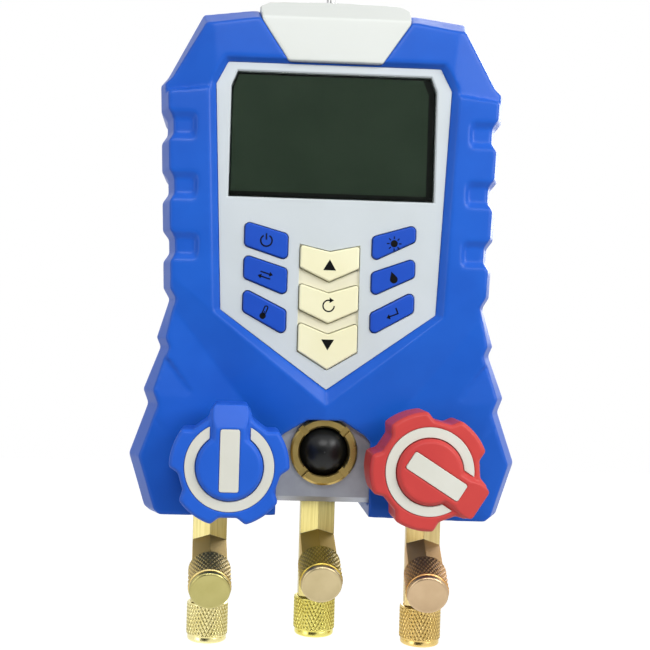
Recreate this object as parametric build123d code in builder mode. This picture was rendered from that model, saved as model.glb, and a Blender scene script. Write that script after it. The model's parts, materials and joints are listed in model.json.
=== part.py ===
from build123d import *
from math import acos, cos, degrees, radians, sin, sqrt, tan
import os

# Digital refrigerant manifold gauge, hung by its hook.
# All sizes in millimetres. +Z is up, the display faces -Y, +X is to the right of someone reading it.
# The origin is where the hook rests on what it hangs from.

os.makedirs("parts", exist_ok=True)

# ------------------------------------------------------------------ driving dimensions
fit_gap = 0.3            # loose gap between pieces that are assembled by hand
run_gap = 0.06           # radial gap of a turning or sliding fit
thread_gap = 0.05        # radial gap drawn between a screw and its hole

# hook
wire_r = 1.8
hook_r = 15.0            # centre line of the hook's bow
hook_bend_r = 5.0        # centre line of the small bend above the shank
hook_sweep = 280.0       # how far round the bow the wire goes, in degrees
shank_length = 9.0       # straight wire above the case
hook_plane = 26.0        # depth of the wire behind the shield's face
hook_head_r = 3.2
hook_head_height = 2.0
bush_r = 4.5
bush_flange_r = 6.0
bush_flange_height = 1.2
bush_edge = 0.5
hook_play = 0.2          # end play of the hook and of the valve stems
past = 1.0               # how far a cutter runs past the face that it opens
far_past = 20.0          # the same, where nothing stands behind

# case and boot, as heights above and below the waist line
cap_top = 122.3          # top of the white cap above the waist line
boot_top = 118.8         # top of the boot above the waist line
boot_front = 2.5         # how far the boot stands in front of the shield's face
bevel_depth = 10.0       # depth of the boot's long front bevel
case_back = 41.5         # depth of the case's back
boot_wrap_depth = 36.0   # where the boot starts to round in at the back
back_panel_height = 3.0  # the back panel stands out of the case by this
boot_lip = 9.0           # how far the boot's back lip reaches in
wrap_side = 4.0          # the boot's back edge is drawn in by these: sides, top, bottom
wrap_top = 2.5
wrap_bottom = 1.5
wall = 2.5               # moulded case wall
plate_depth = 3.0        # depth of the front cover's plate, under the boot
skirt_depth = 9.0        # depth of the joint between the two covers
cover_edge = -21.0       # lower end of the front cover, above the valve block

# finger grips in both sides of the boot
grip_count = 3
grip_first = 74.1        # height of the top grip
grip_pitch = 21.4
grip_flat = 5.2          # flat floor of a grip
grip_run = 3.0           # height of each sloped end
grip_depth = 2.2
grip_reach = 11.0        # how far a grip runs over the front
grip_front_depth = 1.6
grip_pocket = 24.0       # length of the pocket that cuts a grip into the front
grip_corner_r = 1.8
grip_run_share = 0.8     # share of a sloped end that shows on the front
grip_inner_slope = 1.2

# shield, display window and keys
shield_top = 97.6
shield_half_top = 38.2
shield_chamfer_x = 42.3
shield_chamfer_z = 89.7
shield_low_x = 38.6
shield_low_z = 9.1
shield_tip = -18.6
window_top = 94.5
window_half_top = 34.8
window_chamfer_x = 36.9
window_chamfer_z = 89.3
window_low = 49.7
window_thickness = 1.5
window_sink = 0.5
window_ledge = 2.0
panel_thickness = 2.5
frame_thickness = 3.5
board_thickness = 1.6
key_proud = 1.0
key_travel = 1.2
key_flange = 0.8
key_flange_thickness = 1.2
key_length = 6.4         # from a key's face to the back of its plunger
key_corner_r = 1.6
bezel_sink = 0.8
key_edge = 0.4
chevron_corner_r = 1.0
plunger_r = 2.4
dome_r = 3.0             # sprung domes of the keypad mat
dome_taper = 15
peg_r = 1.4
peg_inset = (10.0, 9.0)  # frame's width and height less the spacing of its pegs
chip_height = 1.4
# each chip on the back of the board: place, then width and height
chips = (((-30.0, 88.0), (12.0, 12.0)), ((24.0, 90.0), (16.0, 9.0)))

# bevel round the shield: how far it opens at the boot's front
bevel_top = 1.6
bevel_top_side = 1.2
bevel_side = 2.7
bevel_shoulder = 0.6
bevel_low = 0.7
bevel_tip = 6.0

# white cap over the top
cap_low_half = 16.9
cap_low = 98.4
cap_edge_half = 26.5
cap_edge = 112.6
cap_top_half = 27.5
case_rim = 115.6         # top of the hard case, under the cap
cap_back = 38.0
cap_corner = (23.8, 0.9) # half width of the flat top, and the fall to its corner
cap_bevel_start = 1.4    # the cap's long bevel starts this far above its shoulder

# valve block
block_half = 55.0
block_top = -23.0
block_bottom = -59.3
block_front = 3.0
block_depth = 35.0
block_chamfer = 2.0
well_end_gap = 0.5       # thread runs this much deeper than the screw in it
port_depth = 24.0        # depth of the port axes
port_spacing = 40.4
port_bore_r = 3.2
port_thread_r = 4.8
port_thread_length = 10.0
port_clearance = 2.0     # between the fittings' corners and the boot
gallery_r = 2.5
gallery_height = -44.0
gallery_depth = 28.0

# sight glass
glass_height = -40.8
ring_r = 12.1
ring_bore_r = 8.75
ring_front = 0.0
ring_slot = 2.2
ring_slot_depth = 1.6
ring_thread_r = 11.0
ring_thread_end = 8.0
ring_outer_edge = 0.8
ring_inner_edge = 0.6
seal_lap = 1.0           # the glass seal reaches this far past its well
lens_flange_r = 10.6
lens_flange = 2.0
glass_seal = 1.0
lens_r = 8.4
glass_well_r = 7.0
glass_well_end = 27.0
dome_height = 5.5

# valves
valve_x = 33.8
valve_height = -44.0
bonnet_hex = 22.0
bonnet_front = -5.0
bonnet_thread_r = 8.0
bonnet_clearance = 1.0   # between the bonnets' corners and the boot
bonnet_end = 14.0
stem_r = 3.0
chamber_r = 5.0
seat_depth = 22.0
seat_r = 2.5
piston_length = 4.4
stem_pin_r = 2.0
stem_pin_length = 3.2
seal_washer = 0.8
knob_front = -27.0
knob_thickness = 20.0
stem_cover = 5.0         # knob in front of the stem's end
knob_wall = 3.2
knob_web = 3.6           # wall behind the ring
hub_r = 6.0
lobe_r = 20.3
valley_r = 17.2
valley_half = 3.0        # half width of the floor between two lobes
valley_mouth = 9.6       # half width of the same hollow, 2 mm outside the lobes
lobe_count = 5
lobe_reach = 2.0         # the hollows are cut this far past the lobes
lobe_corner_r = 1.5
lobe_edge = 1.0
tab_corner_r = 1.6
tab_root = 4.0           # the tab's low part starts this far from the middle
inlay_outer_r = 15.1
inlay_inner_r = 11.6
inlay_depth = 1.2
inlay_proud = 0.25
boss_disc_r = 11.3
boss_height = 2.0        # the keyhole-shaped boss stands this proud of the ring's band
boss_edge = 1.2
tab_width = 12.0
tab_reach = 21.0
ramp_start = 12.9        # the tab slopes back from here to its end
ramp_drop = 2.9
ring_opening = 13.6
bar_width = 6.6
bar_length = 21.0
bar_offset = 2.3
bar_corner_r = 0.8

# probe sockets in the top
socket_x = 18.0
socket_drop = 0.9        # fall of the cap's top at the sockets
socket_grip = 8.0        # length of the case's socket holes
socket_r = 4.0
socket_depth = 33.0
socket_proud = 0.6
jack_r = 1.8
jack_length = 12.0

# screws and sensors
screw_r = 1.4
screw_head_r = 2.8
screw_head_height = 2.2
screw_seat = 38.0        # depth of the face under a rear screw's head
screw_bite = 5.0
boss_r = 3.6
cover_screw_high = (43.5, 103.0)
cover_screw_low = (47.5, -12.0)
block_screw_x = 20.0
block_screw_heights = (-30.0, -46.0)
slot_length = 3.2
slot_width = 0.8
slot_depth = 1.2
block_screw_seat = block_front + block_depth + 3.0
block_screw_bite = 8.0
sensor_thread_r = 4.0
sensor_r = 7.6
sensor_height = 15.0
sensor_depth = 19.5
sensor_bore_r = 1.2
sensor_hex_height = 5.0
sensor_can_step = 1.2    # the can is this much slimmer than the hexagon's corners
sensor_thread = 8.0

# ports and caps
hex_flat = 12.7
joint_drop = 20.2        # block's underside to where the branches meet
centre_rise = 3.0        # the middle fitting screws in further
branch_tilt = 20.0       # front branch below the horizontal
front_reach = 31.7       # from the meeting point to the front cap's face
lower_reach = 35.6       # from the meeting point to the lower cap's face
flare_r = 5.55
flare_nose_r = 3.2
flare_bore_r = 2.4
cap_r = 7.8
cap_length = 14.5
cap_wall = 1.9
cap_lip = 2.0
cap_edge_r = 1.0
cap_step = 0.5           # lip of the cap, and bevel at its ends
seal_thickness = 1.3
port_turns = (2.0, 0.0, -5.0)    # where each fitting's thread locks, in degrees about its stem

# ------------------------------------------------------------------ worked-out places
bend_angle = degrees(acos(hook_bend_r / (hook_bend_r + hook_r)))
bow_rise = (hook_bend_r + hook_r) * sin(radians(bend_angle))
case_top = -(shank_length + bow_rise + hook_r - wire_r)
waist = case_top - cap_top
face = -hook_plane       # Y of the shield's face


def at(depth):
    """A sketch plane facing forward, this deep behind the shield's face."""
    return Plane.XZ.offset(-(face + depth))


def up(height):
    """Z of a height above the waist line."""
    return waist + height


def both_sides(points):
    """Closed outline from the points of its right half, given from top to bottom."""
    right = [(x, up(z)) for x, z in points]
    left = [(-x, z) for x, z in reversed(right) if x > 0.001]
    return right + left


# ------------------------------------------------------------------ outlines
side_top = (62.5, 89.4)
side_low = (59.5, 16.1)


def side_x(height):
    share = (height - side_low[1]) / (side_top[1] - side_low[1])
    return side_low[0] + share * (side_top[0] - side_low[0])


side_bevel = (3.3, 0.0)
wing_bevel = (4.4, 0.0)
wing_tip = (70.2, -43.7)
foot = -64.2             # height of the boot's lower end
# right half of the boot: place of each corner, then how far the front bevel draws it in
boot_half = [((0.0, boot_top), (0.0, 5.0)),
             ((30.0, 118.2), (0.6, 5.2)),
             ((47.7, 115.9), (1.4, 5.5)),
             ((60.0, 92.4), (3.0, 1.5)),
             (side_top, side_bevel)]
for k in range(grip_count):
    middle = grip_first - k * grip_pitch
    for rise, depth in ((grip_flat / 2 + grip_run, 0.0), (grip_flat / 2, grip_depth),
                        (-grip_flat / 2, grip_depth), (-grip_flat / 2 - grip_run, 0.0)):
        boot_half.append(((side_x(middle + rise) - depth, middle + rise), side_bevel))
boot_half += [(side_low, side_bevel),
              ((57.2, 12.3), side_bevel),
              ((61.4, -1.6), wing_bevel),
              ((59.9, -5.0), wing_bevel),
              ((65.7, -20.4), wing_bevel),
              ((63.8, -25.4), wing_bevel),
              (wing_tip, wing_bevel),
              ((64.3, -62.4), wing_bevel),
              ((62.2, foot), wing_bevel),
              ((0.0, foot), (0.0, 0.0))]


def wrapped(x, height):
    """Corner of the boot's back edge, from the corner in front of it."""
    rise = -wrap_top if height > cap_low else wrap_bottom if height < wing_tip[1] else 0.0
    return (max(x - wrap_side, 0.0), height + rise)


boot_outline = both_sides([corner for corner, bevel in boot_half])
boot_front_outline = both_sides([(c[0] - b[0], c[1] - b[1]) for c, b in boot_half])
boot_back_outline = both_sides([wrapped(*corner) for corner, bevel in boot_half])

case_bottom = block_bottom - fit_gap
case_half = [(0.0, case_rim), (45.0, 112.9), (56.2, 90.2), (54.4, 16.0), (53.4, 11.5),
             (61.5, -43.7), (59.8, case_bottom), (0.0, case_bottom)]
case_outline = both_sides(case_half)
case_waist, case_wing = case_half[4:6]
cover_edge_share = (case_waist[1] - cover_edge) / (case_waist[1] - case_wing[1])
cover_edge_x = case_waist[0] + (case_wing[0] - case_waist[0]) * cover_edge_share
upper_case = both_sides(case_half[:5] + [(cover_edge_x, cover_edge), (0.0, cover_edge)])

shield_half = [(0.0, shield_top), (shield_half_top, shield_top), (shield_chamfer_x, shield_chamfer_z),
               (shield_low_x, shield_low_z), (0.0, shield_tip)]
shield_outline = both_sides(shield_half)
edge_high = (shield_low_x + bevel_side, shield_low_z - bevel_low)
edge_low = (0.0, shield_tip - bevel_tip)
bevel_half = [(0.0, shield_top + bevel_top), (shield_half_top + bevel_top_side, shield_top + bevel_top),
              (shield_chamfer_x + bevel_side, shield_chamfer_z + bevel_shoulder), edge_high, edge_low]
bevel_outline = both_sides(bevel_half)

window_half = [(0.0, window_top), (window_half_top, window_top), (window_chamfer_x, window_chamfer_z),
               (window_chamfer_x, window_low), (0.0, window_low)]
window_outline = both_sides(window_half)

cap_plan = both_sides([(0.0, cap_top), (cap_corner[0], cap_top - cap_corner[1]), (cap_top_half, boot_top),
                       (cap_edge_half, cap_edge), (cap_low_half, cap_low), (0.0, cap_low)])

manifold_window = both_sides([(0.0, -29.6), (6.2, -29.6), (14.7, -35.0), (16.8, -37.4),
                              (16.8, -70.0), (0.0, -70.0)])

# slanted keys: corner heights at the inner and the outer edge of each row
key_inner = 15.2
key_outer = 30.6
left_keys = {"power_key": ((40.8, 36.6), (27.4, 32.2)),
             "unit_key": ((28.9, 24.2), (14.7, 20.6)),
             "temperature_key": ((16.9, 9.4), (0.4, 8.7))}
right_keys = {"light_key": ((41.2, 36.6), (27.8, 35.4)),
              "leak_key": ((29.3, 23.7), (15.3, 22.6)),
              "enter_key": ((17.5, 9.2), (1.2, 10.0))}


def slanted_key(side, outer_top, inner_top, inner_low, outer_low):
    """Corners of a key beside the middle column; side is -1 on the left, +1 on the right."""
    return [(side * key_outer, up(outer_top)), (side * key_inner, up(inner_top)),
            (side * key_inner, up(inner_low)), (side * key_outer, up(outer_low))]


key_plans = {}
for name, ((outer_top, inner_top), (inner_low, outer_low)) in left_keys.items():
    key_plans[name] = slanted_key(-1, outer_top, inner_top, inner_low, outer_low)
for name, ((outer_top, inner_top), (inner_low, outer_low)) in right_keys.items():
    key_plans[name] = slanted_key(1, outer_top, inner_top, inner_low, outer_low)

chevron_half_width = 10.6
# each chevron key: height at the top corner, notch, lower side corner and tip
chevrons = {"up_key": (33.1, 30.8, 25.0, 20.1),
            "reset_key": (19.3, 16.0, 10.0, 5.2),
            "down_key": (5.4, 1.2, -4.9, -11.4)}
for name, (corner, notch, side, tip) in chevrons.items():
    key_plans[name] = both_sides([(0.0, notch), (chevron_half_width, corner),
                                  (chevron_half_width, side), (0.0, tip)])
bezel_half_width = chevron_half_width + fit_gap
bezel_plan = both_sides([(0.0, chevrons["up_key"][1] + fit_gap),
                         (bezel_half_width, chevrons["up_key"][0] + fit_gap),
                         (bezel_half_width, chevrons["down_key"][2] - fit_gap),
                         (0.0, chevrons["down_key"][3] - fit_gap)])


def centre_of(points):
    return (sum(p[0] for p in points) / len(points), sum(p[1] for p in points) / len(points))


screw_places = [(side * x, up(z)) for side in (-1, 1) for x, z in (cover_screw_high, cover_screw_low)]
block_screw_places = [(side * block_screw_x, up(z)) for side in (-1, 1) for z in block_screw_heights]
valve_places = {"low": -valve_x, "high": valve_x}
sensor_places = tuple(valve_places.values())
socket_places = (-socket_x, socket_x)

# ------------------------------------------------------------------ rubber boot
shoulder_low = 88.2      # ledge where the shoulders fall away above the top grip block
shoulder_tilt = 11.0
crease_x = 41.3
crease_lean = 6.0
shoulder_cut = (30.0, 8.0, 45.0)    # reach, height and length of the cutter that forms a shoulder
chin_slope = 0.20        # fall of the front below the shield, per millimetre
wing_slope = 0.115       # rise of the lower wings beyond the valley
valley = ((52.5, 5.3), (34.0, -17.8))
scale_starts = ((59.9, -5.0), (63.8, -25.4))
scale_step = 1.2
scale_length = 15.0
scale_width = 20.0
scale_height = 8.0       # of the cutter above a scale
scale_sink = 0.6         # share of the step that is sunk at the crease
scale_fade = 0.9         # share of the step that is gone at the scale's end
scale_lean = 0.08
chin_cut = (40.0, 60.0, 130.0)      # the chin's cutter: towards the shield, towards the wing, half length
edge_length = sqrt(edge_high[0] ** 2 + (edge_high[1] - edge_low[1]) ** 2)
edge_along = (edge_high[0] / edge_length, (edge_high[1] - edge_low[1]) / edge_length)


def chin_depth(x, height):
    """Depth of the falling front at a place on the right half."""
    distance = (x - edge_low[0]) * edge_along[1] - (height - edge_low[1]) * edge_along[0]
    return chin_slope * distance - boot_front


valley_high = Vector(valley[0][0], face + chin_depth(*valley[0]), up(valley[0][1]))
valley_low = Vector(valley[1][0], face + chin_depth(*valley[1]), up(valley[1][1]))
edge_point = Vector(edge_low[0], face - boot_front, up(edge_low[1]))
down_valley = (valley_low - valley_high).normalized()
chin_normal = down_valley.cross(edge_point - valley_low).normalized()
toward_edge = chin_normal.cross(down_valley).normalized()
outward = down_valley.cross(Vector(0, -1, 0)).normalized() * -1
outward = outward if outward.X > 0 else outward * -1
toward_wing = (outward + Vector(0, -wing_slope, 0)).normalized()
toward_edge = toward_edge if toward_edge.X < 0 else toward_edge * -1


def flip(vector, side):
    return Vector(vector.X * side, vector.Y, vector.Z)


with BuildPart() as rubber_boot:
    # long front bevel, straight sides and the rounded-in back
    with BuildSketch(at(-boot_front)):
        Polygon(*boot_front_outline, align=None)
    with BuildSketch(at(bevel_depth - boot_front)):
        Polygon(*boot_outline, align=None)
    loft(ruled=True)
    with BuildSketch(at(boot_wrap_depth)):
        Polygon(*boot_outline, align=None)
    extrude(amount=boot_wrap_depth - bevel_depth + boot_front)
    with BuildSketch(at(boot_wrap_depth)):
        Polygon(*boot_outline, align=None)
    with BuildSketch(at(case_back + wall)):
        Polygon(*boot_back_outline, align=None)
    loft(ruled=True)
    # shoulders fall away outside a leaning crease
    for side in (-1, 1):
        lean = radians(crease_lean)
        shoulder = Plane(origin=(side * crease_x, face - boot_front, up(shoulder_low)),
                         x_dir=(side * cos(lean), 0, -sin(lean)), z_dir=(side * sin(lean), 0, cos(lean)))
        forward = side * -1
        with BuildSketch(shoulder):
            reach, height, length = shoulder_cut
            Polygon((0, 0), (reach, -forward * reach * tan(radians(shoulder_tilt))),
                    (reach, forward * height), (0, forward * height), align=None)
        extrude(amount=length, mode=Mode.SUBTRACT)
    # the front falls back below the shield to a valley, and rises again over the lower wings
    for side in (-1, 1):
        start = flip(valley_low, side)
        along = flip(down_valley, side)
        first = flip(toward_edge, side)
        groove = Plane(origin=start, x_dir=first, z_dir=along)
        second = flip(toward_wing, side)
        with BuildSketch(groove):
            inward, outward_reach, length = chin_cut
            Polygon((0, 0), (inward, 0), (outward_reach * second.dot(groove.x_dir),
                                          outward_reach * second.dot(groove.y_dir)), align=None)
        extrude(amount=length, both=True, mode=Mode.SUBTRACT)
    # overlapping scales on the wings: a sunk step below each crease
    for side in (-1, 1):
        for x, height in scale_starts:
            crease = flip(down_valley + Vector(0, -scale_lean, 0), side).normalized()
            away = flip(toward_wing, side)
            depth = face + chin_depth(*valley[1]) - wing_slope * ((x - valley[1][0]) * outward.X
                                                                  + (height - valley[1][1]) * outward.Z)
            step = Plane(origin=(side * x, depth + scale_step * scale_sink, up(height)), x_dir=away, z_dir=crease)
            front = Vector(0, -1, 0)
            tall = scale_height if front.dot(step.y_dir) > 0 else -scale_height
            with BuildSketch(step):
                Polygon((0, 0), (scale_length, tall * scale_step / scale_height * scale_fade),
                        (scale_length, tall), (0, tall), align=None)
            extrude(amount=scale_width, mode=Mode.SUBTRACT)
    # finger grips run over onto the front
    for k in range(grip_count):
        middle = up(grip_first - k * grip_pitch)
        inner = side_x(grip_first - k * grip_pitch) - grip_depth - grip_reach
        for side in (-1, 1):
            with BuildSketch(at(-boot_front)):
                with Locations((side * (inner + grip_pocket / 2), middle)):
                    RectangleRounded(grip_pocket, grip_flat + 2 * grip_run * grip_run_share, grip_corner_r)
            with BuildSketch(at(grip_front_depth - boot_front)):
                with Locations((side * (inner + grip_inner_slope + grip_pocket / 2), middle)):
                    RectangleRounded(grip_pocket, grip_flat, grip_corner_r)
            loft(ruled=True, mode=Mode.SUBTRACT)
    # room for the case, its shield, the white cap and the valve block
    with BuildSketch(at(case_back)):
        Polygon(*case_outline, align=None)
    extrude(amount=case_back - plate_depth, mode=Mode.SUBTRACT)
    with BuildSketch(at(case_back + wall)):
        Polygon(*case_outline, align=None)
        offset(amount=-boot_lip)
    extrude(amount=wall, mode=Mode.SUBTRACT)
    with BuildSketch(at(0)):
        Polygon(*shield_outline, align=None)
    with BuildSketch(at(-boot_front)):
        Polygon(*bevel_outline, align=None)
    loft(ruled=True, mode=Mode.SUBTRACT)
    with BuildSketch(at(plate_depth)):
        Polygon(*shield_outline, align=None)
    extrude(amount=plate_depth, mode=Mode.SUBTRACT)
    with BuildSketch(at(cap_back)):
        Polygon(*cap_plan, align=None)
    extrude(amount=cap_back + boot_front + past, mode=Mode.SUBTRACT)
    with BuildSketch(at(cap_back)):
        Polygon(*manifold_window, align=None)
    extrude(amount=cap_back + far_past, mode=Mode.SUBTRACT)
    # clearance behind the lip for the sight glass ring, round the valve bonnets and the port fittings
    with BuildSketch(at(block_front)):
        with Locations((0, up(glass_height))):
            Circle(ring_r + fit_gap)
    extrude(amount=block_front - ring_front + fit_gap, mode=Mode.SUBTRACT)
    with BuildSketch(at(block_front)):
        with Locations(*[(x, up(valve_height)) for x in (-valve_x, valve_x)]):
            Circle(bonnet_hex / sqrt(3) + bonnet_clearance)
    extrude(amount=far_past, mode=Mode.SUBTRACT)
    with BuildSketch(Plane.XY.offset(up(case_bottom))):
        with Locations(*[(x, face + port_depth) for x in (-port_spacing, port_spacing)]):
            Circle(hex_flat / sqrt(3) + port_clearance)
    extrude(amount=-boot_lip, mode=Mode.SUBTRACT)

# ------------------------------------------------------------------ front cover and what sits in it
with BuildPart() as front_cover:
    with BuildSketch(at(skirt_depth)):
        Polygon(*upper_case, align=None)
    extrude(amount=skirt_depth - plate_depth)
    with BuildSketch(at(plate_depth)):
        Polygon(*shield_outline, align=None)
    extrude(amount=plate_depth)
    # hollow behind the plate and behind the raised shield
    with BuildSketch(at(skirt_depth)):
        Polygon(*upper_case, align=None)
        offset(amount=-wall, kind=Kind.INTERSECTION)
    extrude(amount=skirt_depth - plate_depth - wall, mode=Mode.SUBTRACT)
    with BuildSketch(at(plate_depth + wall)):
        Polygon(*shield_outline, align=None)
        offset(amount=-wall, kind=Kind.INTERSECTION)
    extrude(amount=plate_depth, mode=Mode.SUBTRACT)
    # window seat with a bevelled edge, and the opening behind it
    with BuildSketch(at(window_sink)):
        Polygon(*window_outline, align=None)
        offset(amount=run_gap, kind=Kind.INTERSECTION)
    with BuildSketch(at(0)):
        Polygon(*window_outline, align=None)
        offset(amount=window_sink + run_gap, kind=Kind.INTERSECTION)
    loft(ruled=True, mode=Mode.SUBTRACT)
    with BuildSketch(at(window_sink + window_thickness)):
        Polygon(*window_outline, align=None)
        offset(amount=run_gap, kind=Kind.INTERSECTION)
    extrude(amount=window_thickness, mode=Mode.SUBTRACT)
    with BuildSketch(at(wall)):
        Polygon(*window_outline, align=None)
        offset(amount=-window_ledge, kind=Kind.INTERSECTION)
    extrude(amount=wall, mode=Mode.SUBTRACT)
    # openings for the slanted keys and for the bezel of the middle column
    with BuildSketch(at(wall)) as openings:
        for plan in (key_plans[name] for name in list(left_keys) + list(right_keys)):
            Polygon(*plan, align=None)
        fillet(openings.vertices(), key_corner_r)
        offset(amount=fit_gap)
        Polygon(*bezel_plan, align=None)
    extrude(amount=wall, mode=Mode.SUBTRACT)
    # bosses that the rear screws bite into
    with BuildSketch(at(skirt_depth)):
        with Locations(*screw_places):
            Circle(boss_r)
    extrude(amount=skirt_depth - plate_depth - wall)
    with BuildSketch(at(skirt_depth)):
        with Locations(*screw_places):
            Circle(screw_r + thread_gap)
    extrude(amount=screw_bite, mode=Mode.SUBTRACT)

with BuildPart() as top_cap:
    with BuildSketch(at(cap_back)):
        Polygon(*cap_plan, align=None)
    extrude(amount=cap_back + boot_front)
    # the case stands behind its front wall and under its roof
    with BuildSketch(at(cap_back)):
        Polygon(*upper_case, align=None)
    extrude(amount=cap_back - plate_depth, mode=Mode.SUBTRACT)
    # long bevel along the top front edge
    cap_front = face - boot_front
    with BuildSketch(Plane.YZ.offset(-cap_top_half - past)):
        Polygon((cap_front - past, up(cap_edge + cap_bevel_start)),
                (cap_front, up(cap_edge + cap_bevel_start)), (cap_front + bevel_depth, up(cap_top)),
                (cap_front + bevel_depth, up(cap_top + far_past)),
                (cap_front - past, up(cap_top + far_past)), align=None)
    extrude(amount=2 * (cap_top_half + past), mode=Mode.SUBTRACT)
    with BuildSketch(Plane.XY.offset(up(case_rim) - wall)):
        Circle(bush_r + thread_gap)
        with Locations(*[(x, face + socket_depth) for x in socket_places]):
            Circle(socket_r + thread_gap)
    extrude(amount=far_past, mode=Mode.SUBTRACT)

with BuildPart() as display_window:
    with BuildSketch(at(window_sink + window_thickness)):
        Polygon(*window_outline, align=None)
    extrude(amount=window_thickness)

with BuildPart() as display_panel:
    with BuildSketch(at(wall + panel_thickness)):
        Polygon(*window_outline, align=None)
        offset(amount=-window_ledge / 2, kind=Kind.INTERSECTION)
    extrude(amount=panel_thickness)

frame_back = wall + panel_thickness + frame_thickness
board_back = frame_back + board_thickness
peg_spacing = (2 * window_chamfer_x - peg_inset[0], window_top - window_low - peg_inset[1])
board_half = [(0.0, 100.0), (40.0, 100.0), (49.0, 88.0), (48.0, 12.0), (44.0, -4.0), (38.0, -17.0), (0.0, -17.0)]
mat_half = [(0.0, 46.0), (34.0, 46.0), (34.0, 2.0), (16.0, -8.0), (0.0, -14.0)]
with BuildPart() as display_frame:
    with BuildSketch(at(frame_back)):
        with Locations((0, up((window_top + window_low) / 2))):
            Rectangle(2 * window_chamfer_x - window_ledge, window_top - window_low - window_ledge / 2)
    extrude(amount=frame_thickness)
    # pegs through the board
    with BuildSketch(at(board_back)):
        with Locations((0, up((window_top + window_low) / 2))):
            with GridLocations(*peg_spacing, 2, 2):
                Circle(peg_r)
    extrude(amount=board_thickness)

with BuildPart() as circuit_board:
    with BuildSketch(at(board_back)):
        Polygon(*both_sides(board_half), align=None)
        with Locations((0, up((window_top + window_low) / 2))):
            with GridLocations(*peg_spacing, 2, 2):
                Circle(peg_r + thread_gap, mode=Mode.SUBTRACT)
    extrude(amount=board_thickness)
    # main chips on the back of the board
    with BuildSketch(at(board_back + chip_height)):
        for (x, height), size in chips:
            with Locations((x, up(height))):
                Rectangle(*size)
    extrude(amount=chip_height)

mat_back = frame_back
mat_thickness = 1.2
dome_top = key_length - key_proud + key_travel + run_gap
with BuildPart() as keypad_mat:
    with BuildSketch(at(mat_back)):
        Polygon(*both_sides(mat_half), align=None)
    extrude(amount=mat_thickness)
    with BuildSketch(at(mat_back - mat_thickness)):
        with Locations(*[centre_of(plan) for plan in key_plans.values()]):
            Circle(dome_r)
    extrude(amount=mat_back - mat_thickness - dome_top, taper=dome_taper)

bezel_back = wall
bezel_flange = 1.0
with BuildPart() as centre_key_bezel:
    with BuildSketch(at(bezel_back)):
        Polygon(*bezel_plan, align=None)
    extrude(amount=bezel_back - bezel_sink)
    # flange behind the cover
    with BuildSketch(at(bezel_back + bezel_flange)):
        Polygon(*bezel_plan, align=None)
        offset(amount=bezel_flange, kind=Kind.INTERSECTION)
    extrude(amount=bezel_flange)
    with BuildSketch(at(bezel_back + bezel_flange)) as openings:
        for name in chevrons:
            Polygon(*key_plans[name], align=None)
        fillet(openings.vertices(), chevron_corner_r)
        offset(amount=fit_gap)
    extrude(amount=bezel_back + bezel_flange + past, mode=Mode.SUBTRACT)

keys = {}
for name, plan in key_plans.items():
    flange_front = bezel_back + run_gap + (bezel_flange if name in chevrons else 0)
    with BuildPart() as key:
        with BuildSketch(at(flange_front)) as crown:
            Polygon(*plan, align=None)
            fillet(crown.vertices(), chevron_corner_r if name in chevrons else key_corner_r)
        extrude(amount=flange_front + key_proud)
        chamfer(key.faces().sort_by(Axis.Y)[0].edges(), key_edge)
        with BuildSketch(at(flange_front + key_flange_thickness)):
            Polygon(*plan, align=None)
            offset(amount=key_flange, kind=Kind.INTERSECTION)
        extrude(amount=key_flange_thickness)
        if flange_front + key_flange_thickness < key_length - key_proud:
            with BuildSketch(at(key_length - key_proud)):
                with Locations(centre_of(plan)):
                    Circle(plunger_r)
            extrude(amount=key_length - key_proud - flange_front - key_flange_thickness)
    keys[name] = key.part

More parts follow.
